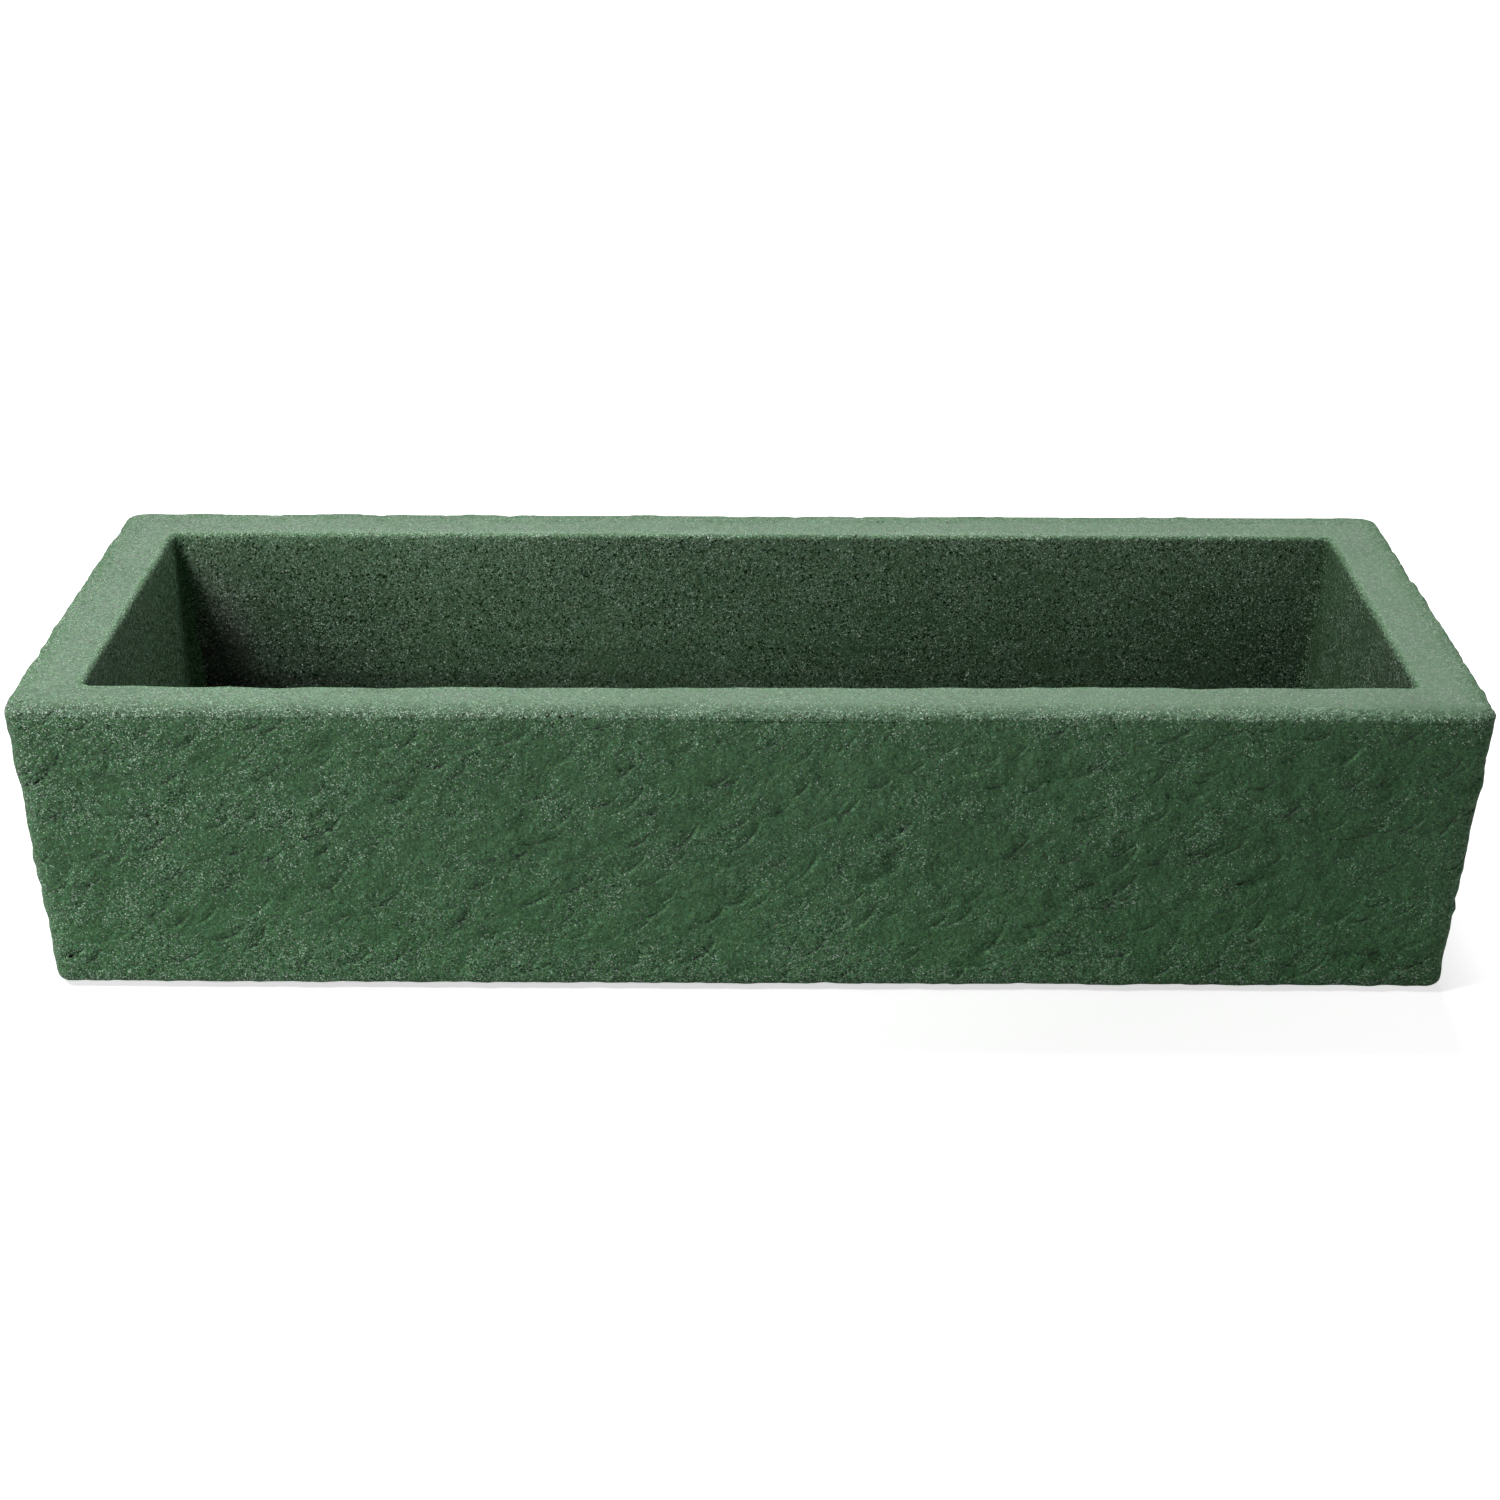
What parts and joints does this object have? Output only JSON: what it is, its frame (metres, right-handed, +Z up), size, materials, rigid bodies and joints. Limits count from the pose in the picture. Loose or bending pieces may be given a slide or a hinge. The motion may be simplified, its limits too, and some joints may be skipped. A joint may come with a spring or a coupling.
{
  "type": "stone trough planter",
  "caption": "Long rectangular cast stone planter with drafted rough-hewn walls, a broad flat rim, plugged floor drains and low rubber pads to stand on.",
  "frame": {"origin": "on the ground, under the middle of the trough", "axes": "+X along the trough to its right-hand end, -Y out of its front, +Z up"},
  "size_m": [0.914, 0.356, 0.201],
  "materials": {
    "cast_stone": "matte",
    "sleeve_plastic": "satin",
    "plug_rubber": "matte",
    "pad_rubber": "matte"
  },
  "bodies": {
    "trough": {"trough_body": "cast_stone", "drain_sleeve_left": "sleeve_plastic", "drain_sleeve_centre": "sleeve_plastic", "drain_sleeve_right": "sleeve_plastic", "foot_pad_front_left": "pad_rubber", "foot_pad_front_right": "pad_rubber", "foot_pad_back_left": "pad_rubber", "foot_pad_back_right": "pad_rubber"},
    "left_plug": {"drain_plug_left": "plug_rubber"},
    "centre_plug": {"drain_plug_centre": "plug_rubber"},
    "right_plug": {"drain_plug_right": "plug_rubber"}
  },
  "joints": [
    {"name": "left_plug_lift", "type": "slide", "parent": "trough", "child": "left_plug", "axis": [0, 0, 1], "range_m": [0, 0.2]},
    {"name": "centre_plug_lift", "type": "slide", "parent": "trough", "child": "centre_plug", "axis": [0, 0, 1], "range_m": [0, 0.2]},
    {"name": "right_plug_lift", "type": "slide", "parent": "trough", "child": "right_plug", "axis": [0, 0, 1], "range_m": [0, 0.2]}
  ]
}
